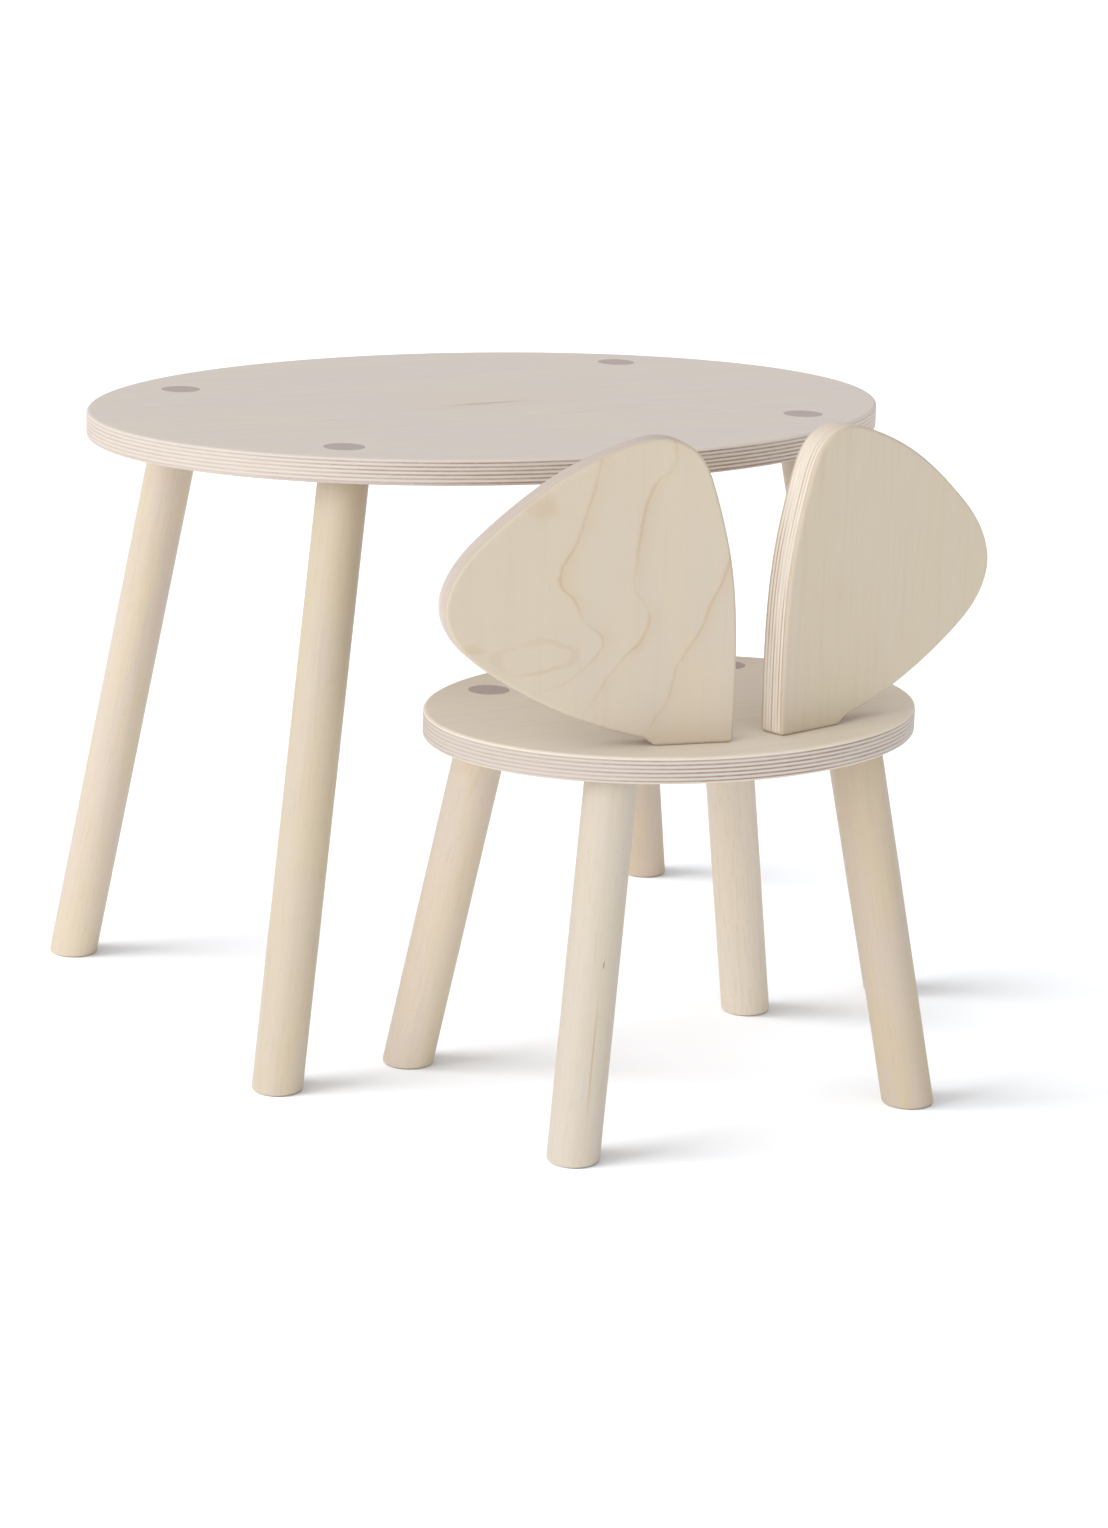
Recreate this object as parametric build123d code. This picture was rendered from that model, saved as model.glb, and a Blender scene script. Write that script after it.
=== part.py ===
from build123d import *
import math
import os

# A small child's table with one matching chair, in millimetres.
# +Z is up, the floor is Z = 0, and the origin is the centre of the set's footprint.
# The table stands at +Y and the chair at -Y, with its backrest away from the table.

# Sheet and turned stock
PLATE = 19.0                # plywood of the table top and the seat
EAR_PLATE = 22.0            # plywood of the two ears
EDGE_ROUND = 2.5            # rounding along the plywood edges
LEG_DIAMETER = 37.3
TENON_DIAMETER = 30.0       # upright tenon on top of each splayed leg
BLIND_COVER = 5.0           # seat wood left over the blind tenons of the rear legs
GLUE_GAP = 0.1              # room for glue round tenons, dowels and screws
TENON_ROOT = 3.0            # how far below the plate each tenon begins, inside its leg
FOOT_ROUND = 2.5            # rounding of the lower rim of each leg

# Table: an elliptical top on four splayed legs
TABLE_LENGTH = 640.0
TABLE_WIDTH = 490.0
TABLE_HEIGHT = 460.0
TABLE_SHOULDER = (197.4, 138.9)     # where a leg's axis meets the underside of the top
TABLE_FOOT = (270.1, 186.0)         # where the same axis meets the floor

# Chair: an elliptical seat on four splayed legs
SEAT_LENGTH = 370.0
SEAT_WIDTH = 304.0
SEAT_HEIGHT = 286.0
CHAIR_FRONT_SHOULDER = (101.0, 88.4)
CHAIR_FRONT_FOOT = (148.5, 115.2)
CHAIR_REAR_SHOULDER = (100.3, -88.5)
CHAIR_REAR_FOOT = (140.6, -119.3)

# Where the chair stands, measured from the table
CHAIR_SETBACK = 290.9               # from the table's centre back to the seat's centre
CHAIR_OFFSET = -9.3                 # sideways
CHAIR_TURN = -0.7                   # degrees about Z

# Backrest: two mirrored upright plates shaped like ears
EAR_FOOT_X = 50.6                   # middle of the foot on the back face
EAR_FOOT_Y = -109.4
EAR_TURN = 12.7                     # degrees; the outer side swings forward
EAR_FOOT_INNER = -31.2              # ends of the flat foot, across the plate
EAR_FOOT_OUTER = 25.5
EAR_FOOT_CORNER = 3.0               # rounding of those two corners
EAR_FOOT_STEP = (33.0, 5.4)         # short rise between the foot and the lower edge

# Hidden fixings between the seat and each ear
SCREW_DIAMETER = 5.0
SCREW_HEAD_DIAMETER = 10.0
SCREW_HEAD_DEPTH = 3.0
SCREW_LENGTH = 50.0
SCREW_SPREAD = 17.0                 # from the middle of the foot to each screw
DRIVE_WIDTH = 5.0
DRIVE_SLOT = 1.1
DRIVE_DEPTH = 2.0
DOWEL_DIAMETER = 8.0
DOWEL_LENGTH = 30.0
DOWEL_IN_SEAT = 12.0
DOWEL_END_GAP = 1.0
DOWEL_CHAMFER = 1.0

# Worked out from the above
TABLE_UNDERSIDE = TABLE_HEIGHT - PLATE
SEAT_UNDERSIDE = SEAT_HEIGHT - PLATE
TURN = math.radians(CHAIR_TURN)
SEAT_REACH = math.hypot(SEAT_WIDTH / 2 * math.cos(TURN), SEAT_LENGTH / 2 * math.sin(TURN))
TABLE_CENTRE_Y = (CHAIR_SETBACK + SEAT_REACH - TABLE_WIDTH / 2) / 2
TABLE_PLACE = Location((0, TABLE_CENTRE_Y, 0))
CHAIR_PLACE = Location((CHAIR_OFFSET, TABLE_CENTRE_Y - CHAIR_SETBACK, 0), (0, 0, CHAIR_TURN))

# The ear stands in this plane: X runs outward across it, Y up, and Z out of its back face
EAR_OUTWARD = Vector(1, 0, 0).rotate(Axis.Z, EAR_TURN)
EAR_PLANE = Plane(
    origin=(EAR_FOOT_X, EAR_FOOT_Y, SEAT_HEIGHT),
    x_dir=EAR_OUTWARD,
    z_dir=EAR_OUTWARD.cross(Vector(0, 0, 1)),
)


def upright_cylinder(diameter, x, y, z_low, z_high):
    """A cylinder along Z between two heights."""
    return Solid.make_cylinder(diameter / 2, z_high - z_low, Plane((x, y, z_low)))


def oval_plate(length, width, z_low, tenons):
    """An elliptical plywood plate with rounded rims and a hole for each leg's tenon. Each
    tenon is given by its place and how far it reaches into the plate."""
    plate = extrude(Pos(0, 0, z_low) * Ellipse(length / 2, width / 2), PLATE)
    plate = fillet(plate.edges(), EDGE_ROUND)
    for (x, y), reach in tenons:
        hole_diameter = TENON_DIAMETER + 2 * GLUE_GAP
        end_room = 1 if reach == PLATE else GLUE_GAP
        plate -= upright_cylinder(hole_diameter, x, y, z_low - 1, z_low + reach + end_room)
    return plate.solid()


def splayed_leg(shoulder, foot, underside, reach):
    """A round leg that leans outward, cut level at the floor and under the plate, with an
    upright tenon that reaches into the plate."""
    top = Vector(shoulder[0], shoulder[1], underside)
    bottom = Vector(foot[0], foot[1], 0)
    lean = (top - bottom).normalized()
    spare = LEG_DIAMETER
    stock = Solid.make_cylinder(
        LEG_DIAMETER / 2,
        (top - bottom).length + 2 * spare,
        Plane(bottom - lean * spare, z_dir=lean),
    )
    level_slab = Pos(0, 0, underside / 2) * Box(2 * TABLE_LENGTH, 2 * TABLE_LENGTH, underside)
    leg = stock & level_slab
    leg = fillet(leg.edges().group_by(Axis.Z)[0], FOOT_ROUND)
    z_low = underside - TENON_ROOT
    leg += upright_cylinder(TENON_DIAMETER, shoulder[0], shoulder[1], z_low, underside + reach)
    return leg.solid()


def ear_outline():
    """The closed outline of one ear: a flat foot, and one smooth leaf-shaped curve round
    the inner edge, the tip, the outer nose and the lower edge."""
    inner_corner = (EAR_FOOT_INNER, 0)
    outer_corner = (EAR_FOOT_OUTER, 0)
    leaf = Spline(
        inner_corner,
        (-31.6, 60.0),
        (-26.8, 122.2),
        (-13.6, 174.7),
        (3.2, 205.4),
        (24.4, 213.2),
        (48.2, 208.8),
        (90.1, 190.9),
        (140.5, 154.6),
        (170.2, 121.4),
        (176.4, 99.6),
        (168.3, 77.1),
        (140.7, 52.8),
        (90.0, 25.0),
        (60.2, 13.2),
        EAR_FOOT_STEP,
        tangents=[(-0.02, 1), (-1, -0.28)],
    )
    return make_face([
        Line(outer_corner, inner_corner),
        leaf,
        Line(EAR_FOOT_STEP, outer_corner),
    ])


def ear_point(across, up):
    """A point at mid-thickness of the right ear, in the chair's coordinates."""
    return EAR_PLANE.from_local_coords(Vector(across, up, -EAR_PLATE / 2))


def fixing_points(spread):
    """Places of the fixings under both ears, one for each value in spread."""
    points = []
    for across in spread:
        centre = ear_point(across, 0)
        points.append((centre.X, centre.Y))
        points.append((-centre.X, centre.Y))
    return points


def screw(x, y, gap=0.0):
    """A countersunk wood screw driven up from under the seat; a gap gives its hole."""
    low = SEAT_UNDERSIDE
    shank = upright_cylinder(SCREW_DIAMETER + 2 * gap, x, y, low, low + SCREW_LENGTH + gap)
    head = Solid.make_cone(
        SCREW_HEAD_DIAMETER / 2 + gap,
        SCREW_DIAMETER / 2 + gap,
        SCREW_HEAD_DEPTH,
        Plane((x, y, low)),
    )
    return (shank + head).solid()


def screw_with_drive(x, y):
    """A screw with a cross-shaped drive recess in its head."""
    body = screw(x, y)
    middle = Pos(x, y, SEAT_UNDERSIDE)
    body -= middle * Box(DRIVE_WIDTH, DRIVE_SLOT, 2 * DRIVE_DEPTH)
    body -= middle * Box(DRIVE_SLOT, DRIVE_WIDTH, 2 * DRIVE_DEPTH)
    return body.solid()


def dowel(x, y):
    """A chamfered wooden dowel, partly in the seat and partly in the ear."""
    low = SEAT_HEIGHT - DOWEL_IN_SEAT
    pin = upright_cylinder(DOWEL_DIAMETER, x, y, low, low + DOWEL_LENGTH)
    return chamfer(pin.edges().filter_by(GeomType.CIRCLE), DOWEL_CHAMFER).solid()


def dowel_hole(x, y):
    """The room for a dowel, a little longer at both ends."""
    low = SEAT_HEIGHT - DOWEL_IN_SEAT - DOWEL_END_GAP
    high = SEAT_HEIGHT - DOWEL_IN_SEAT + DOWEL_LENGTH + DOWEL_END_GAP
    return upright_cylinder(DOWEL_DIAMETER + 2 * GLUE_GAP, x, y, low, high)


def drill_for_fixings(plate):
    """Cut the screw and dowel holes that fall inside a plate."""
    for x, y in fixing_points((-SCREW_SPREAD, SCREW_SPREAD)):
        plate -= screw(x, y, GLUE_GAP)
    for x, y in fixing_points((0.0,)):
        plate -= dowel_hole(x, y)
    return plate.solid()


def right_ear():
    """The ear at +X: the outline, thickened forward, with rounded corners and edges."""
    plate = extrude(EAR_PLANE * ear_outline(), -EAR_PLATE)
    through_edges = plate.edges().filter_by(Axis((0, 0, 0), EAR_PLANE.z_dir))
    plate = fillet(through_edges.group_by(Axis.Z)[0], EAR_FOOT_CORNER)
    both_faces = plate.faces().sort_by(SortBy.AREA)[-2:]
    return drill_for_fixings(fillet(both_faces.edges(), EDGE_ROUND))


def plate_on_legs(plate_name, length, width, underside, leg_pairs):
    """An oval plate and its legs, by name. Each pair gives the name of two mirrored legs, the
    shoulder and foot of the right one, and how far their tenons reach into the plate."""
    pieces = {}
    tenons = []
    for pair_name, shoulder, foot, reach in leg_pairs:
        for side, sign in (("left", -1), ("right", 1)):
            leg_shoulder = (sign * shoulder[0], shoulder[1])
            leg_foot = (sign * foot[0], foot[1])
            pieces[f"{pair_name}_{side}"] = splayed_leg(leg_shoulder, leg_foot, underside, reach)
            tenons.append((leg_shoulder, reach))
    pieces[plate_name] = oval_plate(length, width, underside, tenons)
    return pieces


def table_pieces():
    """Every piece of the table, with its centre over the origin."""
    near_shoulder = (TABLE_SHOULDER[0], -TABLE_SHOULDER[1])
    near_foot = (TABLE_FOOT[0], -TABLE_FOOT[1])
    leg_pairs = [
        ("table_leg_near", near_shoulder, near_foot, PLATE),
        ("table_leg_far", TABLE_SHOULDER, TABLE_FOOT, PLATE),
    ]
    return plate_on_legs("table_top", TABLE_LENGTH, TABLE_WIDTH, TABLE_UNDERSIDE, leg_pairs)


def chair_pieces():
    """Every piece of the chair, with the seat's centre over the origin."""
    leg_pairs = [
        ("chair_leg_front", CHAIR_FRONT_SHOULDER, CHAIR_FRONT_FOOT, PLATE),
        ("chair_leg_rear", CHAIR_REAR_SHOULDER, CHAIR_REAR_FOOT, PLATE - BLIND_COVER),
    ]
    pieces = plate_on_legs("chair_seat", SEAT_LENGTH, SEAT_WIDTH, SEAT_UNDERSIDE, leg_pairs)
    ear = right_ear()
    pieces["chair_seat"] = drill_for_fixings(pieces["chair_seat"])
    pieces["backrest_ear_right"] = ear
    pieces["backrest_ear_left"] = mirror(ear, about=Plane.YZ).solid()
    pieces["ear_screws"] = Compound([
        screw_with_drive(x, y) for x, y in fixing_points((-SCREW_SPREAD, SCREW_SPREAD))
    ])
    pieces["ear_dowels"] = Compound([dowel(x, y) for x, y in fixing_points((0.0,))])
    return pieces


os.makedirs("parts", exist_ok=True)
for pieces, place in ((table_pieces(), TABLE_PLACE), (chair_pieces(), CHAIR_PLACE)):
    for name, shape in pieces.items():
        export_step(place * shape, f"parts/{name}.step")
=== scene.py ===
import math

import bpy
from mathutils import Matrix, Vector


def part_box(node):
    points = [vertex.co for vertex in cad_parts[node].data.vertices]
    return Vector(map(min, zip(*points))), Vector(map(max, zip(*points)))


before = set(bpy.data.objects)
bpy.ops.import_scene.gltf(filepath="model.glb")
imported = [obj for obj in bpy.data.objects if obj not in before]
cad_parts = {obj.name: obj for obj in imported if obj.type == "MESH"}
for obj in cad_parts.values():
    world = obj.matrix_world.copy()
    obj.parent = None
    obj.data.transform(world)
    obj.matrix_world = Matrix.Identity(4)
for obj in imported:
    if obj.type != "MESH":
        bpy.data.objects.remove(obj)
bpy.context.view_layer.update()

MM = 0.001                              # one millimetre, in metres

# ---------------------------------------------------------------- camera and light
# The camera stands behind the chair, to its left, and looks a little down.
CAMERA_PLACE = Vector((-1.4550, -2.4772, 0.9385))
CAMERA_YAW = math.radians(30.56)        # from +Y towards +X
CAMERA_PITCH = math.radians(14.52)      # downward
CAMERA_ROLL = math.radians(1.53)
CAMERA_SENSOR = 36.0                    # both in mm
CAMERA_LENS = 91.1
FLOOR_SIZE = 200.0                      # in metres
SKY_BRIGHT_SIDE = Vector((-0.99, -0.10, 0))     # the studio is brighter on the left
SKY_BRIGHTEST = 1.22
SKY_DARKEST = 0.48
KEY_FROM = Vector((-0.87, -0.26, 0.42))         # one lamp lights the furniture, from the left
KEY_STRENGTH = 0.9
KEY_SPREAD = math.radians(40)                   # how wide the lamp looks from the object
FLOOR_LAMP_FROM = Vector((-0.79, 0.24, 0.62))   # another makes the short shadows of the legs
FLOOR_LAMP_STRENGTH = 3.0
FLOOR_LAMP_SPREAD = math.radians(42)

# ---------------------------------------------------------------- the wooden stock
TOP_THICKNESS = 19 * MM                 # table top and seat, 13 plies
TOP_DARK_PLIES = 6
EAR_THICKNESS = 22 * MM                 # backrest ears, 15 plies
EAR_DARK_PLIES = 7
DARK_SHARE = 0.38                       # share of a pair of plies that the darker one takes
EAR_TURN = math.radians(12.7)           # each ear's outer side is turned towards the table
CHAIR_TURN = math.radians(-0.7)         # the chair stands slightly turned
SPECULAR = 0.35
PLYWOOD_RELIEF = 0.05 * MM
BIRCH_RELIEF = 0.04 * MM
SMOOTH_RELIEF = 0.01 * MM               # for zinc and floor paint

# The figure of the left ear. Places and sizes in it are given as height above the seat and
# distance from the ear's inner edge, in mm.
FIGURE_SPAN = 220                       # a little more than the ear's height
FIGURE_LINES = (
    ((41, 146), (47, 125), (57, 110), (68, 99), (77, 97), (88, 109), (106, 120), (115, 128),
     (125, 127), (149, 116), (173, 108), (198, 102)),
    ((26, 109), (48, 94), (62, 83), (76, 70), (88, 65), (99, 66), (108, 73), (117, 76),
     (129, 75), (155, 72), (169, 69), (182, 64), (194, 51), (207, 49)),
    ((8, 67), (15, 61), (36, 49), (53, 44), (68, 35), (82, 26), (98, 21), (112, 14), (128, 8)),
)
LINE_HALF = 1.9                         # half the width of each wavy grain line
LINE_STRENGTH = 0.29
HALO_REACH = 14                         # each line has a soft brown side
HALO_STRENGTH = 0.14
LOOP_CENTRE = (66, 145)                 # a flat oval ring in the same figure
LOOP_HALF = (11, 28)
LOOP_STRENGTH = 0.25
SMUDGES = (                             # soft brown marks: centre, half size and strength
    ((170, 143), (15, 14), 0.55),
    ((72, 187), (4, 12), 0.30),
)

# Marks on the table top, measured along and across its grain from its near left corner
TOP_MARK = (314 * MM, 238 * MM)         # thin brown mark near the middle
TOP_MARK_HALF = (50 * MM, 5 * MM)
TOP_GLOW = (330 * MM, 262 * MM)         # and a faint yellowish patch round it
TOP_GLOW_HALF = (120 * MM, 60 * MM)

KNOT = Vector((-0.1327, -0.3123, 0.1397))       # pin knot on the chair's rear left leg
KNOT_HALF = (3.4 * MM, 0.6 * MM, 8 * MM)        # along, across and through the leg
KNOT_STREAK = (-66 * MM, -1.5 * MM, 0.0)        # brown streak below it, measured from the knot
KNOT_STREAK_HALF = (62 * MM, 1.1 * MM, 8 * MM)


def srgb(red, green, blue):
    """A linear colour from the usual 0 to 255 values."""
    def linear(value):
        value /= 255
        return value / 12.92 if value <= 0.04045 else ((value + 0.055) / 1.055) ** 2.4
    return (linear(red), linear(green), linear(blue), 1.0)


class Graph:
    """A material's node tree, with short calls that add a node and return its output."""

    def __init__(self, name):
        self.material = bpy.data.materials.new(name)
        self.material.use_nodes = True
        self.tree = self.material.node_tree
        self.tree.nodes.clear()

    def add(self, kind, inputs=(), **settings):
        """A node with its settings, and with each input linked or set."""
        node = self.tree.nodes.new(kind)
        for key, value in settings.items():
            setattr(node, key, value)
        for key, value in dict(inputs).items():
            if isinstance(value, bpy.types.NodeSocket):
                self.tree.links.new(value, node.inputs[key])
            else:
                node.inputs[key].default_value = value
        return node

    def math(self, operation, *values):
        """One operation on numbers or sockets."""
        return self.add("ShaderNodeMath", enumerate(values), operation=operation).outputs[0]

    def dot(self, vector, direction):
        """How far a vector reaches along a direction."""
        inputs = {0: vector, 1: tuple(direction)}
        return self.add("ShaderNodeVectorMath", inputs, operation="DOT_PRODUCT").outputs["Value"]

    def shift(self, vector, offset):
        """A vector moved by an offset."""
        inputs = {0: vector, 1: tuple(offset)}
        return self.add("ShaderNodeVectorMath", inputs, operation="ADD").outputs["Vector"]

    def combine(self, x, y, z):
        return self.add("ShaderNodeCombineXYZ", {0: x, 1: y, 2: z}).outputs[0]

    def noise(self, vector, scale=1.0, detail=2.0, distortion=0.0):
        inputs = {"Vector": vector, "Scale": scale, "Detail": detail, "Distortion": distortion}
        return self.add("ShaderNodeTexNoise", inputs).outputs["Fac"]

    def step(self, value, low, high, start=0.0, end=1.0):
        """A smooth change from start to end as the value goes from low to high."""
        inputs = {"Value": value, 1: low, 2: high, 3: start, 4: end}
        node = self.add("ShaderNodeMapRange", inputs, interpolation_type="SMOOTHSTEP")
        return node.outputs["Result"]

    def mix(self, share, first, second):
        """A colour between two others."""
        node = self.add("ShaderNodeMix", {0: share, 6: first, 7: second}, data_type="RGBA")
        return node.outputs[2]

    def blend(self, share, first, second):
        """A number between two others."""
        return self.add("ShaderNodeMix", {0: share, 2: first, 3: second}).outputs[0]

    def curve(self, value, points):
        """A smooth curve through a few points, with both coordinates from 0 to 1."""
        node = self.add("ShaderNodeFloatCurve", {"Value": value})
        line = node.mapping.curves[0]
        line.points[0].location = points[0]
        line.points[1].location = points[-1]
        for point in points[1:-1]:
            line.points.new(*point)
        node.mapping.update()
        return node.outputs["Value"]

    def off_centre(self, values, centre, half):
        """How far out of an ellipse or ellipsoid a place is: 0 at its centre, 1 on its rim."""
        total = 0.0
        for value, middle, reach in zip(values, centre, half):
            share = self.math("DIVIDE", self.math("SUBTRACT", value, middle), reach)
            total = self.math("MULTIPLY_ADD", share, share, total)
        return self.math("SQRT", total)

    def place(self):
        """Where a point of the surface is, in metres."""
        return self.add("ShaderNodeTexCoord").outputs["Object"]

    def normal(self):
        """The direction that the surface faces."""
        return self.add("ShaderNodeTexCoord").outputs["Normal"]

    def finish(self, colour, roughness, height, relief):
        """The shader itself, with a fine relief: its height from 0 to 1, and its depth."""
        bump = self.add("ShaderNodeBump", {"Height": height, "Distance": relief})
        shader = self.add("ShaderNodeBsdfPrincipled", {
            "Base Color": colour,
            "Roughness": roughness,
            "Normal": bump.outputs[0],
            "Specular IOR Level": SPECULAR,
        })
        output = self.add("ShaderNodeOutputMaterial")
        self.tree.links.new(shader.outputs[0], output.inputs["Surface"])
        return shader


class Stock:
    """How a piece was cut from its wood: the directions along the grain, through the plate
    and across both."""

    def __init__(self, node, along, through):
        self.points = [vertex.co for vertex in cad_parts[node].data.vertices]
        self.along = Vector(along).normalized()
        self.through = Vector(through)
        self.through = (self.through - self.through.project(self.along)).normalized()
        self.across = self.through.cross(self.along)

    def coordinates(self, graph):
        """Distances along, across and through the piece from its lowest corner, in metres."""
        place = graph.place()
        found = []
        for axis in (self.along, self.across, self.through):
            lowest = min(axis.dot(point) for point in self.points)
            found.append(graph.math("SUBTRACT", graph.dot(place, axis), lowest))
        return found


def grain_noise(graph, place, scales, seed, detail=2.0, distortion=0.3):
    """Noise that is drawn out along the grain: one scale for each of the piece's directions."""
    scaled = [graph.math("MULTIPLY", value, scale) for value, scale in zip(place, scales)]
    moved = graph.shift(graph.combine(*scaled), (seed, 2.3 * seed, 3.1 * seed))
    return graph.noise(moved, 1.0, detail, distortion)


def stain(graph, colour, marks, dark):
    """Mix in a darker colour, up to each mark's share, where its noise goes from low to high."""
    for noise, low, high, share in marks:
        colour = graph.mix(graph.step(noise, low, high, 0.0, share), colour, dark)
    return colour


# ---------------------------------------------------------------- plywood
def plywood(name, stock, thickness, dark_count, look, figure):
    """Birch plywood as a solid: a figured veneer on both faces and bare plies on the rim. The
    function figure gives the veneer's colour and its relief."""
    graph = Graph(name)
    place = stock.coordinates(graph)
    seed = look["seed"]
    pair = thickness / (dark_count + 1 - DARK_SHARE)
    dark_ply = pair * DARK_SHARE
    veneer = pair - dark_ply
    off_middle = graph.math("ABSOLUTE", graph.math("SUBTRACT", place[2], thickness / 2))
    depth = graph.math("SUBTRACT", thickness / 2, off_middle)
    veneer_colour, veneer_height = figure(graph, place, look)
    # Painted shade: the lower veneer, on the rim's bottom edge and over the whole underside, is
    # darkened towards face_dark because it faces down.
    underside = graph.step(place[2], 0.12 * thickness, 0.18 * thickness, look["underside"], 0.0)
    veneer_colour = graph.mix(underside, veneer_colour, look["face_dark"])

    # Each dark ply shows most where it is cut across its grain, along the sides of the plate.
    fibres = grain_noise(graph, place, (150.0, 150.0, 900.0), seed + 4)
    uneven = grain_noise(graph, place, (10.0, 10.0, 330.0), seed + 5, detail=1.0)
    end_on = graph.math("ABSOLUTE", graph.dot(graph.normal(), stock.along))
    ply_middle = graph.math("SUBTRACT", depth, veneer + dark_ply / 2)
    off_line = graph.math("PINGPONG", ply_middle, pair / 2)
    line = graph.step(off_line, 0.35 * dark_ply, 0.8 * dark_ply, 1.0, 0.0)
    line = graph.math("MULTIPLY", line, graph.step(uneven, 0.38, 0.58, look["faintest_ply"], 1.0))
    line = graph.math("MULTIPLY", line, graph.step(end_on, 0.2, 0.85, 1.0, 0.45))
    fine = grain_noise(graph, place, (60.0, 60.0, 2600.0), seed, detail=3.0)
    # Painted shade: the rim turns warmer and darker where it faces along the grain, on the ends of
    # the table top and the seat and on the ears' top and bottom edges. The noise adds the plies'
    # own warm streaks.
    warm_tone_and_painted_shade = graph.math("MULTIPLY_ADD", end_on, 0.6, graph.step(fine, 0.3, 0.75, 0.0, 0.5))
    pale = graph.mix(warm_tone_and_painted_shade, look["rim_pale"], look["rim_warm"])
    dark = graph.mix(graph.step(fibres, 0.35, 0.7, 0.0, 0.3), look["rim_dark"], look["rim_warm"])
    rim_colour = graph.mix(line, pale, dark)
    rim_height = graph.math("MULTIPLY_ADD", line, -0.6, graph.math("MULTIPLY", fibres, 0.6))

    in_veneer = graph.step(depth, 0.9 * veneer, 1.1 * veneer, 1.0, 0.0)
    colour = graph.mix(in_veneer, rim_colour, veneer_colour)
    height = graph.blend(in_veneer, rim_height, veneer_height)
    veneer_roughness = graph.step(veneer_height, 0.2, 0.8, 0.42, 0.52)
    roughness = graph.blend(in_veneer, 0.62, veneer_roughness)
    graph.finish(colour, roughness, height, PLYWOOD_RELIEF)
    return graph.material


def quiet_figure(graph, place, look):
    """Straight quiet grain: broad patches, soft streaks, fine threads and short pores."""
    seed = look["seed"]
    patches = grain_noise(graph, place, (7.0, 22.0, 4.0), seed, detail=4.0, distortion=0.8)
    streaks = grain_noise(graph, place, (7.0, 150.0, 60.0), seed + 1, detail=3.0)
    threads = grain_noise(graph, place, (28.0, 1100.0, 300.0), seed + 2)
    pores = grain_noise(graph, place, (160.0, 2200.0, 600.0), seed + 3, detail=1.0)
    plain = graph.mix(graph.step(patches, 0.35, 0.65), look["face_cool"], look["face_warm"])
    marks = (
        (streaks, 0.50, 0.80, look["streak"]),
        (threads, 0.50, 0.85, look["thread"]),
        (pores, 0.64, 0.78, look["pore"]),
    )
    colour = stain(graph, plain, marks, look["face_dark"])
    height = graph.math("MULTIPLY_ADD", threads, 0.6, graph.math("MULTIPLY", streaks, 0.4))
    return colour, height


def marked_figure(graph, place, look):
    """Quiet grain with one thin brown mark, for the table top."""
    colour, height = quiet_figure(graph, place, look)
    wander = grain_noise(graph, place, (30.0, 60.0, 1.0), look["seed"] + 7)
    across = graph.math("MULTIPLY_ADD", wander, 7 * MM, place[1])
    shifted = graph.math("SUBTRACT", across, 3.5 * MM)
    off = graph.off_centre((place[0], shifted), TOP_MARK, TOP_MARK_HALF)
    glow = graph.off_centre(place[:2], TOP_GLOW, TOP_GLOW_HALF)
    colour = graph.mix(graph.step(glow, 0.2, 1.2, 0.30, 0.0), colour, look["glow"])
    return graph.mix(graph.step(off, 0.1, 1.0, 0.60, 0.0), colour, look["line"]), height


def flame_figure(graph, place, look):
    """Quiet grain crossed by a few wavy brown lines, a flat oval ring and a soft mark."""
    colour, height = quiet_figure(graph, place, look)
    up, across = (graph.math("MULTIPLY", value, 1 / MM) for value in place[:2])
    wobble = grain_noise(graph, place, (60.0, 60.0, 1.0), look["seed"] + 7, detail=4.0)
    sway = grain_noise(graph, place, (70.0, 35.0, 1.0), look["seed"] + 9, detail=3.0)
    across = graph.math("MULTIPLY_ADD", graph.math("SUBTRACT", wobble, 0.5), 7.0, across)
    swayed = graph.math("MULTIPLY_ADD", graph.math("SUBTRACT", sway, 0.5), 14.0, up)
    fading = grain_noise(graph, place, (22.0, 22.0, 1.0), look["seed"] + 8)
    marks = []
    for points in FIGURE_LINES:
        shares = [tuple(distance / FIGURE_SPAN for distance in point) for point in points]
        line = graph.curve(graph.math("DIVIDE", up, FIGURE_SPAN), shares)
        off = graph.math("SUBTRACT", across, graph.math("MULTIPLY", line, FIGURE_SPAN))
        core = graph.step(graph.math("ABSOLUTE", off), 0.2, LINE_HALF, LINE_STRENGTH, 0.0)
        halo = graph.step(off, -HALO_REACH, 0.0, 0.0, HALO_STRENGTH)
        halo = graph.math("MULTIPLY", halo, graph.step(off, 0.0, 4.0, 1.0, 0.0))
        mark = graph.math("ADD", core, halo)
        low_end = graph.step(up, points[0][0] - 4, points[0][0] + 10)
        marks.append(graph.math("MULTIPLY", mark, low_end))
    off_loop = graph.off_centre((swayed, across), LOOP_CENTRE, LOOP_HALF)
    off_ring = graph.math("ABSOLUTE", graph.math("SUBTRACT", off_loop, 1.0))
    marks.append(graph.step(off_ring, 0.03, 0.22, LOOP_STRENGTH, 0.0))
    for centre, half, strength in SMUDGES:
        off_smudge = graph.off_centre((swayed, across), centre, half)
        rough_edge = graph.math("MULTIPLY_ADD", wobble, 1.2, off_smudge)
        marks.append(graph.step(rough_edge, 0.7, 1.7, strength, 0.0))
    total = marks[0]
    for mark in marks[1:]:
        total = graph.math("MAXIMUM", total, mark)
    total = graph.math("MULTIPLY", total, graph.step(fading, 0.38, 0.6, 0.30, 1.0))
    return graph.mix(total, colour, look["line"]), height


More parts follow.
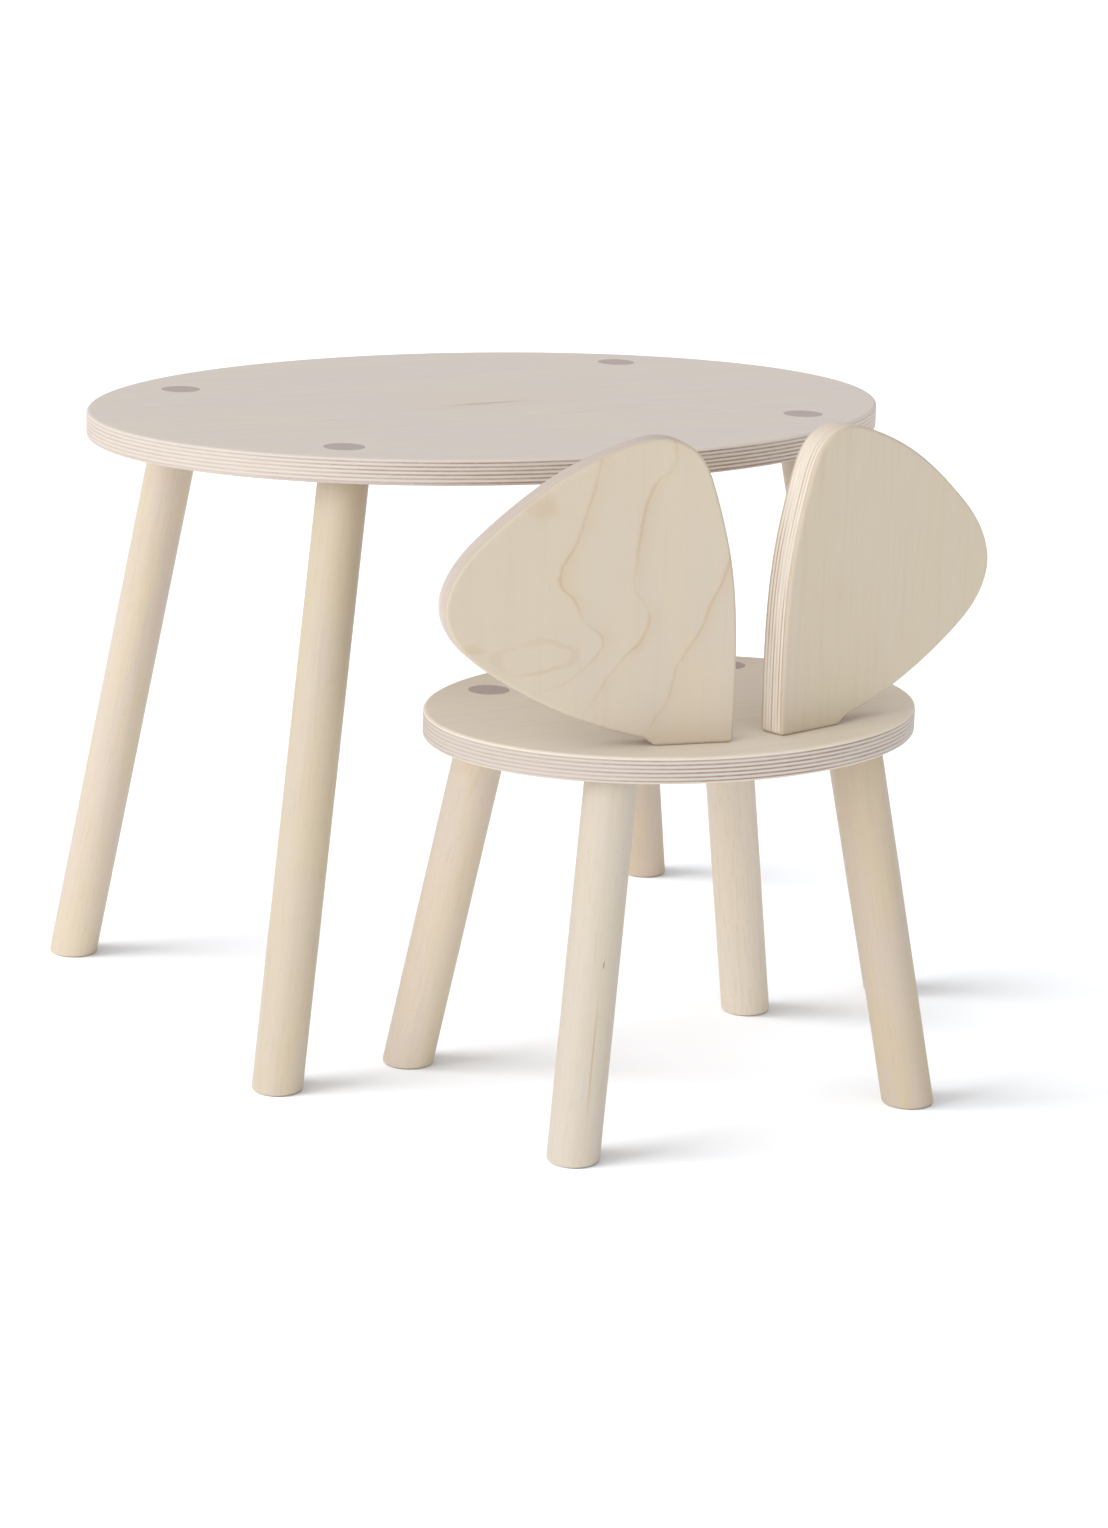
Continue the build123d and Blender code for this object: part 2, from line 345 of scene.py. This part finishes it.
# ---------------------------------------------------------------- solid wood
def solid_birch(name, stock, look, knot=None):
    """A round piece cut from solid wood: quiet fibres on its side, and end grain."""
    graph = Graph(name)
    place = stock.coordinates(graph)
    seed = look["seed"]
    patches = grain_noise(graph, place, (9.0, 45.0, 45.0), seed, detail=3.0, distortion=0.6)
    streaks = grain_noise(graph, place, (9.0, 340.0, 340.0), seed + 1, detail=4.0, distortion=0.8)
    threads = grain_noise(graph, place, (50.0, 900.0, 900.0), seed + 2)
    pores = grain_noise(graph, place, (230.0, 1100.0, 1100.0), seed + 3, detail=1.0)
    plain = graph.mix(graph.step(patches, 0.32, 0.68), look["cool"], look["warm"])
    marks = (
        (streaks, 0.46, 0.80, look["streak"]),
        (threads, 0.50, 0.85, look["thread"]),
        (pores, 0.64, 0.78, look["pore"]),
    )
    side = stain(graph, plain, marks, look["dark"])
    if knot is not None:
        from_knot = graph.shift(graph.place(), -knot)
        off = [graph.dot(from_knot, axis) for axis in (stock.along, stock.across, stock.through)]
        streak = graph.off_centre(off, KNOT_STREAK, KNOT_STREAK_HALF)
        spot = graph.off_centre(off, (0.0, 0.0, 0.0), KNOT_HALF)
        side = graph.mix(graph.step(streak, 0.2, 1.0, 0.5, 0.0), side, look["knot_streak"])
        side = graph.mix(graph.step(spot, 0.3, 1.1, 0.8, 0.0), side, look["knot"])

    # End grain shows on the foot and on the tenon's end, which is a flush disc in the plate.
    rings = graph.math("MULTIPLY_ADD", patches, 6 * MM, place[1])
    ring = graph.step(graph.math("PINGPONG", rings, 1.6 * MM), 0.0, 1.6 * MM)
    speckle = graph.noise(graph.place(), 1500.0, 3.0)
    end = graph.mix(graph.step(speckle, 0.35, 0.7), look["end_pale"], look["end_dark"])
    end = graph.mix(graph.math("MULTIPLY", ring, 0.45), end, look["end_dark"])
    on_end = graph.step(graph.math("ABSOLUTE", graph.dot(graph.normal(), (0, 0, 1))), 0.75, 0.95)
    colour = graph.mix(on_end, side, end)
    height = graph.blend(on_end, threads, speckle)
    roughness = graph.blend(on_end, graph.step(threads, 0.2, 0.8, 0.44, 0.54), 0.66)
    graph.finish(colour, roughness, height, BIRCH_RELIEF)
    return graph.material


def zinc(name):
    """Bright zinc plating, a little uneven."""
    graph = Graph(name)
    cloud = graph.noise(graph.place(), 900.0, 3.0)
    colour = graph.mix(cloud, srgb(150, 152, 156), srgb(205, 206, 208))
    roughness = graph.step(cloud, 0.3, 0.7, 0.28, 0.42)
    shader = graph.finish(colour, roughness, cloud, SMOOTH_RELIEF)
    shader.inputs["Metallic"].default_value = 1.0
    return graph.material


# ---------------------------------------------------------------- looks
# Each look has a seed for its noises, and the share of the dark colour that streaks, threads
# and pores take. faintest_ply is how much a dark ply shows where it is weakest, and underside
# is how much painted shade darkens the lower veneer, which faces down.
TABLE_LOOK = {
    "seed": 1.0, "streak": 0.12, "thread": 0.20, "pore": 0.25, "faintest_ply": 0.70,
    "underside": 0.45,
    "face_cool": srgb(213, 202, 196), "face_warm": srgb(215, 204, 192),
    "face_dark": srgb(186, 168, 155), "line": srgb(172, 144, 124), "glow": srgb(214, 200, 176),
    "rim_pale": srgb(218, 210, 202), "rim_warm": srgb(203, 190, 178),
    "rim_dark": srgb(155, 131, 116),
}
SEAT_LOOK = dict(
    TABLE_LOOK, seed=11.0, face_cool=srgb(222, 211, 197), face_warm=srgb(224, 213, 195),
    rim_pale=srgb(202, 194, 186), rim_warm=srgb(193, 181, 170), rim_dark=srgb(150, 127, 113),
)
LEFT_EAR_LOOK = dict(
    TABLE_LOOK, seed=21.0, streak=0.10, thread=0.12, pore=0.20, faintest_ply=0.25, underside=0.0,
    face_cool=srgb(196, 183, 165), face_warm=srgb(198, 184, 163),
    face_dark=srgb(177, 158, 134), line=srgb(176, 144, 100),
    rim_pale=srgb(212, 203, 193), rim_warm=srgb(192, 177, 166), rim_dark=srgb(172, 150, 134),
)
# Painted light: the right ear's rim colours are lighter than the left ear's, to brighten its inner
# edge, which the left ear shades.
RIGHT_EAR_LOOK = dict(
    LEFT_EAR_LOOK, seed=24.0, streak=0.20, thread=0.25,
    face_cool=srgb(200, 186, 167), face_warm=srgb(200, 187, 164),
    rim_pale=srgb(232, 223, 210), rim_warm=srgb(206, 191, 174), rim_dark=srgb(188, 166, 145),
)
LEG_LOOK = {
    "streak": 0.16, "thread": 0.30, "pore": 0.34,
    "cool": srgb(203, 189, 174), "warm": srgb(205, 190, 165), "dark": srgb(178, 156, 131),
    "knot": srgb(128, 92, 66), "knot_streak": srgb(180, 144, 106),
    "end_pale": srgb(190, 178, 173), "end_dark": srgb(167, 152, 148),
}
# Partly each leg's own tone and partly painted light and shade: this lightens the chair's front
# right leg, which stands in shade, and darkens legs that stand under the seat and the table top.
LEG_TONES_AND_PAINTED_LIGHT = {                           # cool and warm, for the legs that differ from the rest
    "chair_leg_rear_left": (srgb(196, 186, 174), srgb(197, 186, 167)),
    "chair_leg_rear_right": (srgb(191, 176, 160), srgb(193, 177, 152)),
    "chair_leg_front_right": (srgb(213, 201, 187), srgb(214, 201, 181)),
    "table_leg_far_right": (srgb(194, 178, 163), srgb(196, 179, 156)),
    "table_leg_near_left": (srgb(195, 182, 165), srgb(197, 182, 157)),
}
DOWEL_LOOK = dict(LEG_LOOK, seed=91.0, cool=srgb(206, 178, 150), warm=srgb(208, 176, 142))


def dress(node, material):
    """Give a CAD node its material."""
    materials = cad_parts[node].data.materials
    materials.clear()
    materials.append(material)


def middle_of_rim(node, height):
    """The middle of a leg's outline at the height of its foot or of its tenon's end."""
    points = [vertex.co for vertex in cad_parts[node].data.vertices]
    rim = [point for point in points if abs(point.z - height) < 0.5 * MM]
    return [(min(p[axis] for p in rim) + max(p[axis] for p in rim)) / 2 for axis in (0, 1)]


def leg_direction(node):
    """The lean of a leg, from the floor to where its upright tenon enters the plate."""
    low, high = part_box(node)
    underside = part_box("table_top" if node.startswith("table") else "chair_seat")[0].z
    foot = Vector((*middle_of_rim(node, low.z), low.z))
    shoulder = Vector((*middle_of_rim(node, high.z), underside))
    return shoulder - foot


def dress_everything():
    """Give every CAD node its material, cut along the grain that the real piece would have."""
    up = Vector((0, 0, 1))
    turned = Matrix.Rotation(CHAIR_TURN, 3, "Z")
    top = Stock("table_top", (1, 0, 0), up)
    seat = Stock("chair_seat", turned @ Vector((1, 0, 0)), up)
    dress("table_top", plywood(
        "table_ply", top, TOP_THICKNESS, TOP_DARK_PLIES, TABLE_LOOK, marked_figure
    ))
    dress("chair_seat", plywood(
        "seat_ply", seat, TOP_THICKNESS, TOP_DARK_PLIES, SEAT_LOOK, quiet_figure
    ))
    for name, side, look, figure in (
        ("backrest_ear_left", -1, LEFT_EAR_LOOK, flame_figure),
        ("backrest_ear_right", 1, RIGHT_EAR_LOOK, quiet_figure),
    ):
        out_of_back = turned @ Matrix.Rotation(side * EAR_TURN, 3, "Z") @ Vector((0, -1, 0))
        ear = Stock(name, up, out_of_back)
        dress(name, plywood(name + "_ply", ear, EAR_THICKNESS, EAR_DARK_PLIES, look, figure))
    legs = sorted(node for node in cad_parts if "_leg_" in node)
    for number, node in enumerate(legs):
        cool, warm = LEG_TONES_AND_PAINTED_LIGHT.get(node, (LEG_LOOK["cool"], LEG_LOOK["warm"]))
        look = dict(LEG_LOOK, seed=31.0 + 4 * number, cool=cool, warm=warm)
        knot = KNOT if node == "chair_leg_rear_left" else None
        leg = Stock(node, leg_direction(node), (0, 1, 0))
        dress(node, solid_birch(node + "_birch", leg, look, knot))
    dress("ear_screws", zinc("zinc_plate"))
    dress("ear_dowels", solid_birch("dowel_beech", Stock("ear_dowels", up, (0, 1, 0)), DOWEL_LOOK))


# ---------------------------------------------------------------- the studio
def make_floor():
    """A plain pale floor, large enough to fill the view."""
    half = FLOOR_SIZE / 2
    corners = [(-half, -half, 0), (half, -half, 0), (half, half, 0), (-half, half, 0)]
    mesh = bpy.data.meshes.new("floor")
    mesh.from_pydata(corners, [], [(0, 1, 2, 3)])
    floor = bpy.data.objects.new("floor", mesh)
    bpy.context.scene.collection.objects.link(floor)
    graph = Graph("floor_paint")
    mottle = graph.noise(graph.place(), 3.0, 2.0)
    colour = graph.mix(mottle, srgb(239, 242, 246), srgb(243, 246, 250))
    graph.finish(colour, graph.step(mottle, 0.0, 1.0, 0.68, 0.74), mottle, SMOOTH_RELIEF)
    mesh.materials.append(graph.material)
    return floor


def make_sky():
    """An even white studio, brighter on one side than on the other."""
    world = bpy.data.worlds.new("studio")
    world.use_nodes = True
    tree = world.node_tree
    direction = tree.nodes.new("ShaderNodeTexCoord")
    side = tree.nodes.new("ShaderNodeVectorMath")
    side.operation = "DOT_PRODUCT"
    side.inputs[1].default_value = SKY_BRIGHT_SIDE
    level = tree.nodes.new("ShaderNodeMapRange")
    for key, value in ((1, -1.0), (2, 1.0), (3, SKY_DARKEST), (4, SKY_BRIGHTEST)):
        level.inputs[key].default_value = value
    background = tree.nodes["Background"]
    background.inputs["Color"].default_value = (1, 1, 1, 1)
    tree.links.new(direction.outputs["Generated"], side.inputs[0])
    tree.links.new(side.outputs["Value"], level.inputs["Value"])
    tree.links.new(level.outputs["Result"], background.inputs["Strength"])
    bpy.context.scene.world = world


def group(name, members):
    """A collection outside the scene, which says what a lamp acts on."""
    collection = bpy.data.collections.new(name)
    for member in members:
        collection.objects.link(member)
    return collection


def make_lamp(name, direction, strength, spread, lit, shading):
    """A large soft lamp far away, which lights some objects and takes shadows from some."""
    data = bpy.data.lights.new(name, "SUN")
    data.energy = strength
    data.angle = spread
    lamp = bpy.data.objects.new(name, data)
    lamp.rotation_euler = direction.to_track_quat("Z", "Y").to_euler()
    lamp.light_linking.receiver_collection = group(name + "_lights", lit)
    lamp.light_linking.blocker_collection = group(name + "_is_shaded_by", shading)
    bpy.context.scene.collection.objects.link(lamp)


def make_lamps(floor):
    """One lamp for the furniture, and one for the floor that only the legs shade."""
    furniture = list(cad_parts.values())
    legs = [node for name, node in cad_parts.items() if "_leg_" in name]
    make_lamp("key", KEY_FROM, KEY_STRENGTH, KEY_SPREAD, furniture, furniture)
    make_lamp(
        "floor_lamp", FLOOR_LAMP_FROM, FLOOR_LAMP_STRENGTH, FLOOR_LAMP_SPREAD, [floor], legs
    )


def make_camera():
    """The camera, turned by its yaw, pitch and roll."""
    forward = Vector((
        math.sin(CAMERA_YAW) * math.cos(CAMERA_PITCH),
        math.cos(CAMERA_YAW) * math.cos(CAMERA_PITCH),
        -math.sin(CAMERA_PITCH),
    ))
    level = Vector((math.cos(CAMERA_YAW), -math.sin(CAMERA_YAW), 0))
    steep = level.cross(forward)
    right = level * math.cos(CAMERA_ROLL) + steep * math.sin(CAMERA_ROLL)
    up = steep * math.cos(CAMERA_ROLL) - level * math.sin(CAMERA_ROLL)
    data = bpy.data.cameras.new("camera")
    data.sensor_width = CAMERA_SENSOR
    data.lens = CAMERA_LENS
    data.clip_end = 2 * FLOOR_SIZE
    camera = bpy.data.objects.new("camera", data)
    turn = Matrix((right, up, -forward)).transposed()
    camera.matrix_world = Matrix.Translation(CAMERA_PLACE) @ turn.to_4x4()
    bpy.context.scene.collection.objects.link(camera)
    bpy.context.scene.camera = camera


bpy.context.scene.view_settings.view_transform = "Standard"
make_camera()
make_sky()
make_lamps(make_floor())
dress_everything()
